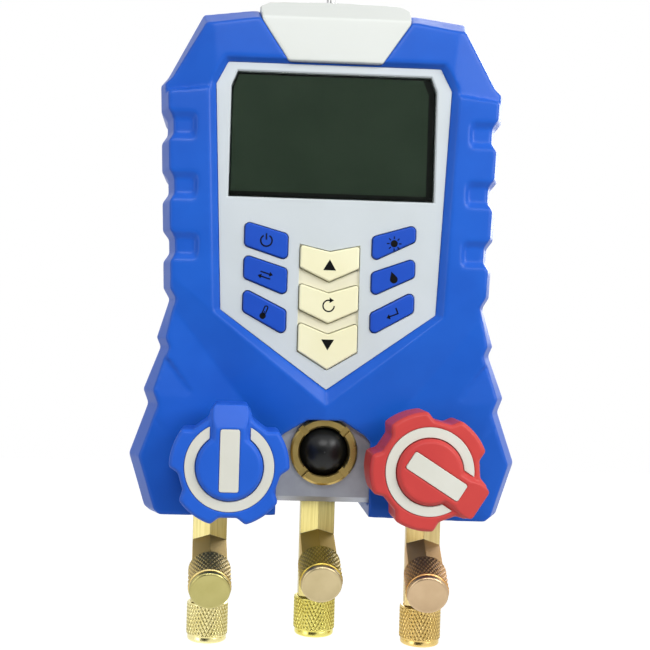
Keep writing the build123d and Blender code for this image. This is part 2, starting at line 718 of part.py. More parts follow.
# ------------------------------------------------------------------ rear cover and battery side
door_width = 66.0
door_height = 60.0
door_middle = 52.0       # height of the battery door's middle
door_thickness = 2.0
door_ledge = 2.0         # ledge that the door rests on
door_rib = (1.6, 0.8)    # width and height of the rib inside
door_rib_gap = 5.0       # from the rib's ends to the door's edges
bay_front = 24.0
bay_wall = 1.5
panel_edge = 1.0
inner_wing = 56.5        # half width of the hollow above the valve block
post_clearance = 0.5
grip_rib_count = 4
grip_rib_pitch = 4.0
grip_rib = (46.0, 1.6, 0.8)         # length, width and depth
grip_rib_drop = 8.0      # from the door's lower edge to the first rib
back_face = case_back + back_panel_height
pocket_top = block_top + fit_gap
with BuildPart() as rear_cover:
    with BuildSketch(at(case_back)):
        Polygon(*case_outline, align=None)
    extrude(amount=case_back - skirt_depth)
    with BuildSketch(at(back_face)):
        Polygon(*case_outline, align=None)
        offset(amount=-boot_lip - fit_gap)
    extrude(amount=back_panel_height)
    chamfer(rear_cover.faces().sort_by(Axis.Y)[-1].edges(), panel_edge)
    # hollow, with a floor above the valve block
    with BuildSketch(at(case_back - wall)):
        Polygon(*both_sides(case_half[:5] + [(inner_wing, pocket_top), (0.0, pocket_top)]), align=None)
        offset(amount=-wall, kind=Kind.INTERSECTION)
    extrude(amount=case_back, mode=Mode.SUBTRACT)
    # pocket of the valve block, open below and in front
    with BuildSketch(at(block_front + block_depth)):
        with Locations((0, up((pocket_top + case_bottom) / 2) - past)):
            Rectangle(2 * (block_half + fit_gap), pocket_top - case_bottom + 2 * past)
    extrude(amount=block_depth + past, mode=Mode.SUBTRACT)
    # battery bay, closed towards the board
    with BuildSketch(at(case_back)):
        with Locations((0, up(door_middle))):
            Rectangle(door_width + 2 * bay_wall, door_height + 2 * bay_wall)
    extrude(amount=case_back - bay_front)
    with BuildSketch(at(back_face)):
        with Locations((0, up(door_middle))):
            Rectangle(door_width - 2 * door_ledge, door_height - 2 * door_ledge)
    extrude(amount=back_face - bay_front - bay_wall, mode=Mode.SUBTRACT)
    with BuildSketch(at(back_face)):
        with Locations((0, up(door_middle))):
            Rectangle(door_width + 2 * fit_gap, door_height + 2 * fit_gap)
    extrude(amount=door_thickness + fit_gap, mode=Mode.SUBTRACT)
    # finger ribs beside the door
    with BuildSketch(at(back_face)):
        for k in range(grip_rib_count):
            with Locations((0, up(door_middle) - door_height / 2 - grip_rib_drop - k * grip_rib_pitch)):
                Rectangle(*grip_rib[:2])
    extrude(amount=grip_rib[2], mode=Mode.SUBTRACT)
    # screw posts, their holes and counterbores
    with BuildSketch(at(case_back)):
        with Locations(*screw_places):
            Circle(boss_r + post_clearance)
    extrude(amount=case_back - skirt_depth)
    with BuildSketch(at(back_face)):
        with Locations(*(screw_places + block_screw_places)):
            Circle(screw_r + fit_gap)
    extrude(amount=back_face, mode=Mode.SUBTRACT)
    with BuildSketch(at(back_face)):
        with Locations(*screw_places):
            Circle(screw_head_r + fit_gap)
    extrude(amount=back_face - screw_seat, mode=Mode.SUBTRACT)
    with BuildSketch(at(back_face)):
        with Locations(*block_screw_places):
            Circle(screw_head_r + fit_gap)
    extrude(amount=back_face - block_screw_seat, mode=Mode.SUBTRACT)
    # holes for the pressure sensors, the hook's bush and the probe sockets
    with BuildSketch(Plane.XY.offset(up(pocket_top) - past)):
        with Locations(*[(x, face + sensor_depth) for x in sensor_places]):
            Circle(sensor_thread_r + fit_gap)
    extrude(amount=wall + 2 * past, mode=Mode.SUBTRACT)
    with BuildSketch(Plane.XY.offset(up(case_rim) - socket_grip)):
        Circle(bush_r + thread_gap)
        with Locations(*[(x, face + socket_depth) for x in socket_places]):
            Circle(socket_r + thread_gap)
    extrude(amount=far_past, mode=Mode.SUBTRACT)

with BuildPart() as battery_door:
    with BuildSketch(at(back_face)):
        with Locations((0, up(door_middle) + door_thickness / 4)):
            Rectangle(door_width, door_height - door_thickness / 2)
    extrude(amount=door_thickness)
    # its lower edge is round and turns in the cover
    with BuildSketch(Plane.YZ.offset(-door_width / 2)):
        with Locations((face + back_face - door_thickness / 2,
                        up(door_middle) - door_height / 2 + door_thickness / 2)):
            Circle(door_thickness / 2)
    extrude(amount=door_width)
    # stiffening rib inside, clear of the cells
    with BuildSketch(at(back_face - door_thickness)):
        with Locations((0, up(door_middle))):
            Rectangle(door_width - 2 * door_rib_gap, door_rib[0])
    extrude(amount=door_rib[1])

cell_r = 7.25
cell_length = 50.5
cell_nub_r = 2.75
cell_nub = 1.0
cell_pitch = 15.0
cell_count = 4
cell_depth = bay_front + bay_wall + cell_r + run_gap
cell_places = [(k - (cell_count - 1) / 2) * cell_pitch for k in range(cell_count)]
with BuildPart() as batteries:
    for k, x in enumerate(cell_places):
        turned = 1 if k % 2 else -1
        low_end = up(door_middle) - turned * cell_length / 2
        with BuildSketch(Plane.XY.offset(low_end)):
            with Locations((x, face + cell_depth)):
                Circle(cell_r)
        extrude(amount=turned * (cell_length - cell_nub))
        with BuildSketch(Plane.XY.offset(low_end + turned * (cell_length - cell_nub))):
            with Locations((x, face + cell_depth)):
                Circle(cell_nub_r)
        extrude(amount=turned * cell_nub)

contact_thickness = 0.8
contact_plate = (11.0, 12.0)
contact_spring_r = 3.2
contact_taper = 12
contact_reach = (door_height - 2 * door_ledge - cell_length) / 2 - fit_gap
with BuildPart() as battery_contacts:
    for end in (-1, 1):
        bay_end = up(door_middle) + end * (door_height / 2 - door_ledge)
        with BuildSketch(Plane.XY.offset(bay_end)):
            with Locations(*[(x, face + cell_depth) for x in cell_places]):
                Rectangle(*contact_plate)
        extrude(amount=-end * contact_thickness)
        with BuildSketch(Plane.XY.offset(bay_end - end * contact_thickness)):
            with Locations(*[(x, face + cell_depth) for x in cell_places]):
                Circle(contact_spring_r)
        extrude(amount=-end * (contact_reach - contact_thickness), taper=contact_taper)


def screw_set(places, seat, tip):
    """Pan head screws driven in from the back: head behind the seat, shank forward to the tip."""
    with BuildPart() as screws:
        with BuildSketch(at(seat + screw_head_height)):
            with Locations(*places):
                Circle(screw_head_r)
        extrude(amount=screw_head_height)
        with BuildSketch(at(seat)):
            with Locations(*places):
                Circle(screw_r)
        extrude(amount=seat - tip)
        with BuildSketch(at(seat + screw_head_height)):
            with Locations(*places):
                Rectangle(slot_length, slot_width)
                Rectangle(slot_width, slot_length)
        extrude(amount=slot_depth, mode=Mode.SUBTRACT)
    return screws.part


cover_screws = screw_set(screw_places, screw_seat, skirt_depth - screw_bite + fit_gap)
block_screws = screw_set(block_screw_places, block_screw_seat,
                         block_front + block_depth - block_screw_bite + fit_gap)

# ------------------------------------------------------------------ hook
bush_bottom = up(case_rim) - wall - bush_edge
with BuildPart() as hook_bush:
    with BuildSketch(Plane.XY.offset(bush_bottom)):
        Circle(bush_r)
        Circle(wire_r + run_gap, mode=Mode.SUBTRACT)
    extrude(amount=case_top - bush_bottom)
    with BuildSketch(Plane.XY.offset(case_top)):
        Circle(bush_flange_r)
        Circle(wire_r + run_gap, mode=Mode.SUBTRACT)
    extrude(amount=bush_flange_height)
    chamfer(hook_bush.faces().sort_by(Axis.Z)[-1].outer_wire().edges(), bush_edge)

with BuildPart() as hook:
    with BuildLine(Plane.XZ) as wire:
        shank = Line((0, bush_bottom - hook_play), (0, case_top + shank_length))
        bend = JernArc(start=shank @ 1, tangent=shank % 1, radius=hook_bend_r, arc_size=-bend_angle)
        JernArc(start=bend @ 1, tangent=bend % 1, radius=hook_r, arc_size=hook_sweep)
    with BuildSketch(Plane(origin=wire.line @ 0, z_dir=wire.line % 0)):
        Circle(wire_r)
    sweep()
    # upset head that keeps the hook in its bush
    with BuildSketch(Plane.XY.offset(bush_bottom - hook_play)):
        Circle(hook_head_r)
    extrude(amount=-hook_head_height)

with BuildPart() as probe_sockets:
    for x in socket_places:
        socket_top = case_top - socket_drop + socket_proud
        with BuildSketch(Plane.XY.offset(socket_top)):
            with Locations((x, face + socket_depth)):
                Circle(socket_r)
        extrude(amount=up(case_rim) - wall - socket_grip - socket_top)
        with BuildSketch(Plane.XY.offset(socket_top)):
            with Locations((x, face + socket_depth)):
                Circle(jack_r)
        extrude(amount=-jack_length, mode=Mode.SUBTRACT)

# ------------------------------------------------------------------ valve block and sight glass
glass_seat = ring_thread_end + thread_gap + lens_flange
block_middle = up((block_top + block_bottom) / 2)
with BuildPart() as manifold_block:
    with BuildSketch(at(block_front + block_depth)):
        with Locations((0, block_middle)):
            Rectangle(2 * block_half, block_top - block_bottom)
    extrude(amount=block_depth)
    chamfer(manifold_block.edges().filter_by(Axis.X).group_by(Axis.Z)[0], block_chamfer)
    # stepped well of the sight glass
    with BuildSketch(at(glass_seat + glass_seal)):
        with Locations((0, up(glass_height))):
            Circle(ring_thread_r + thread_gap)
    extrude(amount=block_depth, mode=Mode.SUBTRACT)
    with BuildSketch(at(glass_well_end)):
        with Locations((0, up(glass_height))):
            Circle(glass_well_r)
    extrude(amount=block_depth, mode=Mode.SUBTRACT)
    # valve bores: thread, chamber, seat
    for depth, radius in ((bonnet_end + seal_washer, bonnet_thread_r + thread_gap),
                          (seat_depth, chamber_r), (gallery_depth, seat_r)):
        with BuildSketch(at(depth)):
            with Locations(*[(x, up(valve_height)) for x in valve_places.values()]):
                Circle(radius)
        extrude(amount=depth, mode=Mode.SUBTRACT)
    # gallery that joins the seats and the middle port
    with BuildSketch(Plane.YZ.offset(-valve_x)):
        with Locations((face + gallery_depth, up(gallery_height))):
            Circle(gallery_r)
    extrude(amount=2 * valve_x, mode=Mode.SUBTRACT)
    # ports from below, sensor holes from above
    with BuildSketch(Plane.XY.offset(up(block_bottom))):
        with Locations(*[(x, face + port_depth) for x in (-port_spacing, 0, port_spacing)]):
            Circle(port_thread_r + thread_gap)
    extrude(amount=port_thread_length + well_end_gap, mode=Mode.SUBTRACT)
    with BuildSketch(Plane.XY.offset(up(block_bottom))):
        with Locations(*[(x, face + port_depth) for x in (-port_spacing, 0, port_spacing)]):
            Circle(port_bore_r)
    extrude(amount=gallery_height - block_bottom, mode=Mode.SUBTRACT)
    with BuildSketch(Plane.XY.offset(up(block_top))):
        with Locations(*[(x, face + sensor_depth) for x in sensor_places]):
            Circle(sensor_thread_r + thread_gap)
    extrude(amount=-sensor_thread - well_end_gap, mode=Mode.SUBTRACT)
    with BuildSketch(Plane.XY.offset(up(block_top))):
        with Locations(*[(x, face + sensor_depth) for x in sensor_places]):
            Circle(sensor_bore_r)
    extrude(amount=valve_height - block_top, mode=Mode.SUBTRACT)
    with BuildSketch(at(block_front + block_depth)):
        with Locations(*block_screw_places):
            Circle(screw_r + thread_gap)
    extrude(amount=block_screw_bite, mode=Mode.SUBTRACT)

with BuildPart() as sight_glass_ring:
    with BuildSketch(at(block_front)):
        with Locations((0, up(glass_height))):
            Circle(ring_r)
    extrude(amount=block_front - ring_front)
    chamfer(sight_glass_ring.faces().sort_by(Axis.Y)[0].edges(), ring_outer_edge)
    with BuildSketch(at(ring_thread_end)):
        with Locations((0, up(glass_height))):
            Circle(ring_thread_r)
    extrude(amount=ring_thread_end - block_front)
    with BuildSketch(at(ring_thread_end)):
        with Locations((0, up(glass_height))):
            Circle(ring_bore_r)
    extrude(amount=ring_thread_end - ring_front, mode=Mode.SUBTRACT)
    chamfer(sight_glass_ring.faces().sort_by(Axis.Y)[0].inner_wires().edges(), ring_inner_edge)
    with BuildSketch(at(ring_front + ring_slot_depth)):
        with Locations((0, up(glass_height))):
            with Locations(Rotation(0, 0, 45)):
                Rectangle(2 * (ring_r + past), ring_slot)
                Rectangle(ring_slot, 2 * (ring_r + past))
    extrude(amount=ring_slot_depth, mode=Mode.SUBTRACT)

dome_base = block_front
lens_dome_r = (lens_r ** 2 + dome_height ** 2) / (2 * dome_height)
with BuildPart() as sight_glass_lens:
    with BuildSketch(Plane(origin=(0, 0, up(glass_height)), x_dir=(1, 0, 0), z_dir=(0, 0, 1))):
        with BuildLine():
            Polyline((0, face + dome_base - dome_height), (0, face + glass_seat),
                     (lens_flange_r, face + glass_seat), (lens_flange_r, face + glass_seat - lens_flange),
                     (lens_r, face + glass_seat - lens_flange), (lens_r, face + dome_base))
            RadiusArc((lens_r, face + dome_base), (0, face + dome_base - dome_height), lens_dome_r)
        make_face()
    revolve(axis=Axis((0, 0, up(glass_height)), (0, 1, 0)))

with BuildPart() as sight_glass_seal:
    with BuildSketch(at(glass_seat + glass_seal)):
        with Locations((0, up(glass_height))):
            Circle(lens_flange_r)
            Circle(glass_well_r + seal_lap, mode=Mode.SUBTRACT)
    extrude(amount=glass_seal)

sensors = {}
for side, x in valve_places.items():
    with BuildPart() as sensor:
        seat = up(pocket_top + wall)
        with BuildSketch(Plane.XY.offset(seat)):
            with Locations((x, face + sensor_depth)):
                RegularPolygon(sensor_r, 6)
        extrude(amount=sensor_hex_height)
        with BuildSketch(Plane.XY.offset(seat + sensor_hex_height)):
            with Locations((x, face + sensor_depth)):
                Circle(sensor_r - sensor_can_step)
        extrude(amount=sensor_height - sensor_hex_height)
        with BuildSketch(Plane.XY.offset(seat)):
            with Locations((x, face + sensor_depth)):
                Circle(sensor_thread_r)
        extrude(amount=up(block_top) - sensor_thread - seat)
        with BuildSketch(Plane.XY.offset(up(block_top) - sensor_thread)):
            with Locations((x, face + sensor_depth)):
                Circle(sensor_bore_r)
        extrude(amount=sensor_thread + wall, mode=Mode.SUBTRACT)
    sensors[side] = sensor.part

# ------------------------------------------------------------------ valves
bonnets = {}
stems = {}
pistons = {}
knobs = {}
inlays = {}
tab_angles = {"low": 90.0, "high": -32.0}
for side, x in valve_places.items():
    axis_place = (x, up(valve_height))
    with BuildPart() as bonnet:
        with BuildSketch(at(block_front)):
            with Locations(axis_place):
                RegularPolygon(bonnet_hex / 2, 6, major_radius=False)
        extrude(amount=block_front - bonnet_front)
        with BuildSketch(at(bonnet_end)):
            with Locations(axis_place):
                Circle(bonnet_thread_r)
        extrude(amount=bonnet_end - block_front)
        with BuildSketch(at(bonnet_end)):
            with Locations(axis_place):
                Circle(stem_r + run_gap)
        extrude(amount=bonnet_end - bonnet_front, mode=Mode.SUBTRACT)
    bonnets[side] = bonnet.part

    piston_front = seat_depth - piston_length
    with BuildPart() as stem:
        stem_end = piston_front - hook_play
        with BuildSketch(at(stem_end)):
            with Locations(axis_place):
                Circle(stem_r)
        extrude(amount=stem_end - knob_front - stem_cover - thread_gap)
        with BuildSketch(at(stem_end + stem_pin_length)):
            with Locations(axis_place):
                Circle(stem_pin_r)
        extrude(amount=stem_pin_length)
    stems[side] = stem.part

    with BuildPart() as piston:
        with BuildSketch(at(seat_depth)):
            with Locations(axis_place):
                Circle(chamber_r - run_gap)
        extrude(amount=piston_length)
        with BuildSketch(at(piston_front + stem_pin_length)):
            with Locations(axis_place):
                Circle(stem_pin_r + run_gap)
        extrude(amount=stem_pin_length, mode=Mode.SUBTRACT)
    pistons[side] = piston.part

    tab = radians(tab_angles[side])
    toward_tab = Vector(cos(tab), 0, sin(tab))
    centre = Vector(x, face + knob_front, up(valve_height))
    front = Plane(origin=centre, x_dir=toward_tab, z_dir=(0, -1, 0))
    band = front.offset(-boss_height)
    hub = front.offset(-knob_thickness)
    along_tab = Plane(origin=centre, x_dir=toward_tab, z_dir=toward_tab.cross(Vector(0, -1, 0)))
    with BuildPart() as knob:
        with BuildSketch(hub) as plan:
            Circle(lobe_r)
            with PolarLocations(0, lobe_count, start_angle=180.0 / lobe_count):
                Polygon((valley_r, -valley_half), (lobe_r + lobe_reach, -valley_mouth),
                        (lobe_r + lobe_reach, valley_mouth), (valley_r, valley_half),
                        align=None, mode=Mode.SUBTRACT)
            fillet(plan.vertices(), lobe_corner_r)
        extrude(amount=knob_thickness - boss_height)
        chamfer(knob.faces().sort_by(Axis.Y)[0].edges(), lobe_edge)
        # tab that runs out over one lobe
        with BuildSketch(hub):
            with Locations(((tab_reach + tab_root) / 2, 0)):
                RectangleRounded(tab_reach - tab_root, tab_width, tab_corner_r)
        extrude(amount=knob_thickness - boss_height)
        # groove of the ring
        with BuildSketch(band):
            Circle(inlay_outer_r)
            Circle(boss_disc_r, mode=Mode.SUBTRACT)
            with Locations((lobe_r / 2, 0)):
                Rectangle(lobe_r, ring_opening, mode=Mode.SUBTRACT)
        extrude(amount=-inlay_depth, mode=Mode.SUBTRACT)
        # keyhole-shaped boss: middle disc and tab in one
        with BuildSketch(band):
            Circle(boss_disc_r)
            with Locations((tab_reach / 2, 0)):
                RectangleRounded(tab_reach, tab_width, tab_corner_r)
        extrude(amount=boss_height)
        chamfer(knob.faces().sort_by(Axis.Y)[0].edges(), boss_edge)
        with BuildSketch(along_tab):
            Polygon((ramp_start, 0), (tab_reach + past, -ramp_drop), (tab_reach + past, past),
                    (ramp_start, past), align=None)
        extrude(amount=tab_width, both=True, mode=Mode.SUBTRACT)
        with BuildSketch(front):
            with Locations((bar_offset, 0)):
                Rectangle(bar_length, bar_width)
        extrude(amount=-inlay_depth, mode=Mode.SUBTRACT)
        # hollow back with a hub round the stem
        with BuildSketch(hub):
            Circle(valley_r - knob_wall)
            Circle(hub_r, mode=Mode.SUBTRACT)
        extrude(amount=knob_thickness - boss_height - knob_web, mode=Mode.SUBTRACT)
        with BuildSketch(hub):
            Circle(stem_r + thread_gap)
        extrude(amount=knob_thickness - stem_cover, mode=Mode.SUBTRACT)
    knobs[side] = knob.part

    with BuildPart() as inlay:
        with BuildSketch(band.offset(-inlay_depth)):
            Circle(inlay_outer_r - thread_gap)
            Circle(inlay_inner_r, mode=Mode.SUBTRACT)
            with Locations((lobe_r / 2, 0)):
                Rectangle(lobe_r, ring_opening + thread_gap, mode=Mode.SUBTRACT)
        extrude(amount=inlay_depth + inlay_proud)
        with BuildSketch(front.offset(-inlay_depth)):
            with Locations((bar_offset, 0)):
                RectangleRounded(bar_length - thread_gap, bar_width - thread_gap, bar_corner_r)
        extrude(amount=inlay_depth + inlay_proud)
    inlays[side] = inlay.part

with BuildPart() as bonnet_seals:
    with BuildSketch(at(bonnet_end + seal_washer)):
        with Locations(*[(x, up(valve_height)) for x in valve_places.values()]):
            Circle(bonnet_thread_r - thread_gap)
            Circle(chamber_r + thread_gap, mode=Mode.SUBTRACT)
    extrude(amount=seal_washer)

# ------------------------------------------------------------------ port fittings, caps and seals
fittings = {}
caps = {}
seals = {}
port_places = {"left": -port_spacing, "centre": 0.0, "right": port_spacing}
hex_r = hex_flat / sqrt(3)
for (port, x), turn in zip(port_places.items(), port_turns):
    rise = centre_rise if port == "centre" else 0.0
    joint = Vector(x, face + port_depth, up(block_bottom - joint_drop + rise))
    across = (cos(radians(turn)), sin(radians(turn)), 0)
    tilt = radians(branch_tilt)
    ahead = (sin(radians(turn)) * cos(tilt), -cos(radians(turn)) * cos(tilt), -sin(tilt))
    stem_plane = Plane(origin=joint, x_dir=across, z_dir=(0, 0, 1))
    branches = {"front": (Plane(origin=joint, x_dir=across, z_dir=ahead), front_reach),
                "lower": (Plane(origin=joint, x_dir=across, z_dir=(0, 0, -1)), lower_reach)}
    with BuildPart() as fitting:
        with BuildSketch(stem_plane):
            RegularPolygon(hex_r, 6, rotation=30)
        extrude(amount=joint_drop - rise)
        with BuildSketch(stem_plane.offset(joint_drop - rise)):
            Circle(port_thread_r)
        extrude(amount=port_thread_length)
        for plane, reach in branches.values():
            shoulder = reach - cap_length - fit_gap
            nose_end = reach - cap_wall - thread_gap - seal_thickness - fit_gap
            nose = flare_r - flare_nose_r
            with BuildSketch(plane):
                RegularPolygon(hex_r, 6, rotation=30)
            extrude(amount=shoulder)
            with BuildSketch(plane.offset(shoulder)):
                Circle(flare_r)
            extrude(amount=nose_end - nose - shoulder)
            with BuildSketch(plane.offset(nose_end - nose)):
                Circle(flare_r)
            with BuildSketch(plane.offset(nose_end)):
                Circle(flare_nose_r)
            loft()
        for plane, reach in branches.values():
            with BuildSketch(plane):
                Circle(flare_bore_r)
            extrude(amount=reach, mode=Mode.SUBTRACT)
        with BuildSketch(stem_plane):
            Circle(flare_bore_r)
        extrude(amount=joint_drop + port_thread_length, mode=Mode.SUBTRACT)
    fittings[port] = fitting.part

    for branch, (plane, reach) in branches.items():
        with BuildPart() as cap:
            with BuildSketch(plane.offset(reach - cap_length)):
                Circle(cap_r)
            extrude(amount=cap_length - cap_lip)
            chamfer(cap.edges().filter_by(GeomType.CIRCLE), cap_step)
            with BuildSketch(plane.offset(reach - cap_lip)):
                Circle(cap_r - cap_step)
            rim = extrude(amount=cap_lip)
            fillet(rim.edges().filter_by(GeomType.CIRCLE).sort_by(Axis(plane.origin, plane.z_dir))[-1], cap_edge_r)
            with BuildSketch(plane.offset(reach - cap_length)):
                Circle(flare_r + run_gap)
            extrude(amount=cap_length - cap_wall, mode=Mode.SUBTRACT)
        caps[port, branch] = cap.part
        with BuildPart() as seal:
            with BuildSketch(plane.offset(reach - cap_wall - thread_gap)):
                Circle(flare_r)
            extrude(amount=-seal_thickness)
        seals[port, branch] = seal.part

# ------------------------------------------------------------------ named pieces
pieces = {"front_cover": front_cover.part, "top_cap": top_cap.part, "rear_cover": rear_cover.part,
          "rubber_boot": rubber_boot.part, "display_window": display_window.part,
          "display_panel": display_panel.part, "display_frame": display_frame.part,
          "circuit_board": circuit_board.part, "keypad_mat": keypad_mat.part,
          "centre_key_bezel": centre_key_bezel.part, "battery_door": battery_door.part,
          "batteries": batteries.part, "battery_contacts": battery_contacts.part,
          "cover_screws": cover_screws, "block_screws": block_screws, "hook": hook.part,
          "hook_bush": hook_bush.part, "probe_sockets": probe_sockets.part,
          "manifold_block": manifold_block.part, "sight_glass_ring": sight_glass_ring.part,
          "sight_glass_lens": sight_glass_lens.part, "sight_glass_seal": sight_glass_seal.part,
          "bonnet_seals": bonnet_seals.part}
pieces.update(keys)
for side in valve_places:
    pieces[f"{side}_pressure_sensor"] = sensors[side]
    pieces[f"{side}_valve_bonnet"] = bonnets[side]
    pieces[f"{side}_valve_stem"] = stems[side]
    pieces[f"{side}_valve_piston"] = pistons[side]
    pieces[f"{side}_knob"] = knobs[side]
    pieces[f"{side}_knob_inlay"] = inlays[side]
for port in port_places:
    pieces[f"{port}_port_fitting"] = fittings[port]
    for branch in ("front", "lower"):
        pieces[f"{port}_{branch}_cap"] = caps[port, branch]
        pieces[f"{port}_{branch}_cap_seal"] = seals[port, branch]
for name, piece in pieces.items():
    piece.label = name
    export_step(piece, f"parts/{name}.step")
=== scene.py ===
import json
from math import cos, pi, radians, sin

import bmesh
import bpy
from mathutils import Matrix, Vector


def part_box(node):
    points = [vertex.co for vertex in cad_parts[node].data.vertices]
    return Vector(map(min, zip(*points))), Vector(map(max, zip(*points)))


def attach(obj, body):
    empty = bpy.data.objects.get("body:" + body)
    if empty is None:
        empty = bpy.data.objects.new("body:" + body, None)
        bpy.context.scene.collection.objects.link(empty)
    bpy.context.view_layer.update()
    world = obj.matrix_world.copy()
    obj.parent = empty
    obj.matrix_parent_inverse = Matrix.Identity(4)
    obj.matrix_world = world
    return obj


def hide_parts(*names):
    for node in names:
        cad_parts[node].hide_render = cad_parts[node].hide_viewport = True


# Looks of a digital refrigerant manifold gauge: materials, soft edges, printed films and symbols, knurled
# caps, camera and studio. Metres: +Z is up, the display faces -Y, and the origin is where the hook hangs.
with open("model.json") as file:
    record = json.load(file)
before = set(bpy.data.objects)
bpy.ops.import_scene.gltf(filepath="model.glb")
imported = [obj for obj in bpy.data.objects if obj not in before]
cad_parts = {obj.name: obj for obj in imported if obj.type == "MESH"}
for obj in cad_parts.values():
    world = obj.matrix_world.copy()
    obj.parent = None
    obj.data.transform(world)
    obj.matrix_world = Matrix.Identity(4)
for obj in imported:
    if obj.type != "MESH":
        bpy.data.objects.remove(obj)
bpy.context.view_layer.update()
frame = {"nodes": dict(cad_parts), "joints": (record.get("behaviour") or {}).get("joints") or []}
nodes = frame["nodes"]
joints = {joint["name"]: joint for joint in frame["joints"]}
mm = 0.001
scene = bpy.context.scene
scene.view_settings.view_transform = "Standard"

side_keys = ["power_key", "unit_key", "temperature_key", "light_key", "leak_key", "enter_key"]
chevron_keys = ["up_key", "reset_key", "down_key"]
ports = ["left", "centre", "right"]
branches = ["front", "lower"]
sides = ["low", "high"]


# ------------------------------------------------------------------ how a material is made
def srgb(code):
    """Linear colour of an sRGB hex value such as 2860c8."""
    channels = [int(code[i:i + 2], 16) / 255 for i in (0, 2, 4)]
    return tuple(c / 12.92 if c <= 0.04045 else ((c + 0.055) / 1.055) ** 2.4 for c in channels) + (1.0,)


def add(tree, kind, inputs=None, **settings):
    """One new node of a tree, with its settings; an input given as a socket is linked."""
    node = tree.nodes.new("ShaderNode" + kind)
    for name, value in settings.items():
        setattr(node, name, value)
    for key, value in (inputs or {}).items():
        if isinstance(value, bpy.types.NodeSocket):
            tree.links.new(value, node.inputs[key])
        else:
            node.inputs[key].default_value = value
    return node


def new_material(name, **values):
    """A material with one principled shader; values are its constant inputs."""
    material = bpy.data.materials.new(name)
    material.use_nodes = True
    tree = material.node_tree
    tree.nodes.clear()
    surface = add(tree, "BsdfPrincipled", {key.replace("_", " "): value for key, value in values.items()})
    add(tree, "OutputMaterial", {"Surface": surface.outputs["BSDF"]})
    place = add(tree, "TexCoord").outputs["Object"]
    return material, tree, surface, place


ramp_low, ramp_high = 0.35, 0.65      # the noise values between which two tones blend
sheen_low, sheen_high = 0.3, 0.7      # the same, for the gloss
grain_strength = 0.5


def surfaced(tree, surface, place, tones, tone_size, gloss, gloss_size, grain):
    """Tone that drifts between two colours, gloss that wanders, and a fine grain.

    tones are the light and the dark colour, gloss is a roughness and how far it wanders, and grain is a
    pitch and a depth.
    """
    drift = add(tree, "TexNoise", {"Vector": place, "Scale": 1 / tone_size, "Detail": 3.0})
    ramp = add(tree, "ValToRGB", {"Fac": drift.outputs["Fac"]})
    light, dark = tones
    for stop, position, colour in zip(ramp.color_ramp.elements, (ramp_low, ramp_high), (dark, light)):
        stop.position = position
        stop.color = srgb(colour)
    tree.links.new(ramp.outputs["Color"], surface.inputs["Base Color"])

    roughness, spread = gloss
    sheen = add(tree, "TexNoise", {"Vector": place, "Scale": 1 / gloss_size, "Detail": 4.0})
    wander = add(tree, "MapRange", {"Value": sheen.outputs["Fac"],
                                    "From Min": sheen_low, "From Max": sheen_high,
                                    "To Min": roughness - spread, "To Max": roughness + spread})
    tree.links.new(wander.outputs["Result"], surface.inputs["Roughness"])

    pitch, depth = grain
    height = add(tree, "TexNoise", {"Vector": place, "Scale": 1 / pitch, "Detail": 3.0})
    bump = add(tree, "Bump", {"Height": height.outputs["Fac"], "Distance": depth,
                              "Strength": grain_strength})
    tree.links.new(bump.outputs["Normal"], surface.inputs["Normal"])


mould_tone_size = 22 * mm
mould_gloss_size = 9 * mm
mould_spread = 0.02
metal_spread = 0.03


def moulded(name, tones, roughness, grain, **values):
    """A moulded, printed or coated surface; grain is its pitch and its depth in millimetres."""
    material, tree, surface, place = new_material(name, **values)
    surfaced(tree, surface, place, tones, mould_tone_size, (roughness, mould_spread), mould_gloss_size,
             [size * mm for size in grain])
    return material


def metal(name, tones, roughness, grain, tone_size=5.0, streak=1.0):
    """A bare metal; grain and tone_size in millimetres, and all its marks run along Z by streak."""
    material, tree, surface, place = new_material(name, Metallic=1.0)
    drawn = add(tree, "Mapping", {"Vector": place, "Scale": (1, 1, 1 / streak)}).outputs["Vector"]
    surfaced(tree, surface, drawn, tones, tone_size * mm, (roughness, metal_spread), tone_size * mm,
             [size * mm for size in grain])
    return material


def blend_in_shade(material, amount, colour):
    """Blends the base colour of a material towards a painted shade colour, by a socket that holds the
    amount.
    """
    tree = material.node_tree
    surface = tree.nodes["Principled BSDF"]
    clean = surface.inputs["Base Color"].links[0].from_socket
    mixed = add(tree, "MixRGB", {"Fac": amount, "Color1": clean, "Color2": srgb(colour)})
    tree.links.new(mixed.outputs["Color"], surface.inputs["Base Color"])


def knurled(name, tones, groove_shade, roughness):
    """Brass with a rolled knurl: bright crests, and painted shade where the piece stores a groove."""
    material = metal(name, tones, roughness, (0.3, 0.004))
    groove = add(material.node_tree, "Attribute", attribute_name="groove").outputs["Fac"]
    blend_in_shade(material, groove, groove_shade)
    return material


branch_shade_edge = 0.4 * mm      # width over which the painted shade starts
branch_shade_dulls = 0.2          # roughness that it adds


